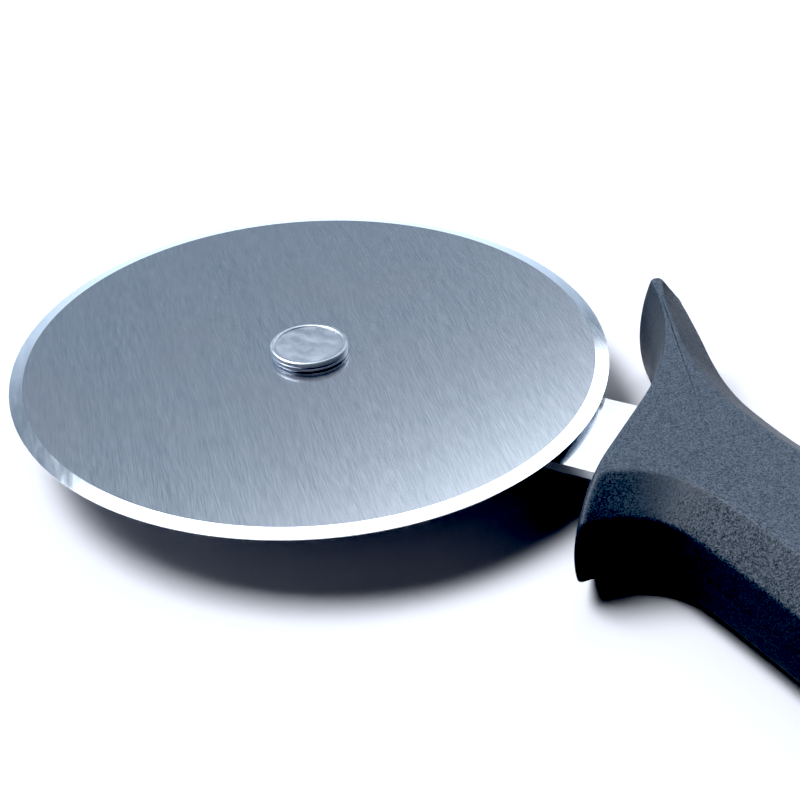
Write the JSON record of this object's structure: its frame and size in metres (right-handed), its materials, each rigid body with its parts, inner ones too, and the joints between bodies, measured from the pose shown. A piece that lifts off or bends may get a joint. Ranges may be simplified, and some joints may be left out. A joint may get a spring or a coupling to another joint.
{
  "type": "pastry cutter wheel",
  "caption": "Hand-held cutting wheel: a flat round blade turning on a riveted axle at the end of a steel shank, with a moulded handle and finger guard bent down from the shank.",
  "frame": {"origin": "middle of the bottom of the whole cutter's box, with the handle's flat side down", "axes": "+X from the wheel to the handle's end, along the shank; +Z along the wheel's axle, towards the rivet's head"},
  "size_m": [0.2262, 0.1202, 0.0188],
  "materials": {
    "blade_steel": "satin, brushed in one direction, with a polished bevel at the rim",
    "rivet_steel": "dull, mottled from heading, with a polished rim",
    "shank_steel": "bright, finely ground",
    "handle_plastic": "blue-black, fine pebbled mould texture, smoother on the upright sides"
  },
  "bodies": {
    "handle_unit": {"handle": "handle_plastic", "shank_and_tang": "shank_steel", "axle_rivet": "rivet_steel", "back_washer": "rivet_steel"},
    "wheel": {"cutting_wheel": "blade_steel"},
    "loose_head_washer": {"head_washer": "rivet_steel"},
    "loose_spacer": {"spacer_washer": "rivet_steel"}
  },
  "joints": [
    {"name": "wheel_spin", "type": "hinge", "parent": "handle_unit", "child": "wheel", "pos_m": [-0.06232, 0.00929, 0.01155], "axis": [0, 0, 1], "continuous": true},
    {"name": "head_washer_spin", "type": "hinge", "parent": "handle_unit", "child": "loose_head_washer", "pos_m": [-0.06232, 0.00929, 0.01155], "axis": [0, 0, 1], "continuous": true},
    {"name": "spacer_spin", "type": "hinge", "parent": "handle_unit", "child": "loose_spacer", "pos_m": [-0.06232, 0.00929, 0.01155], "axis": [0, 0, 1], "continuous": true}
  ]
}
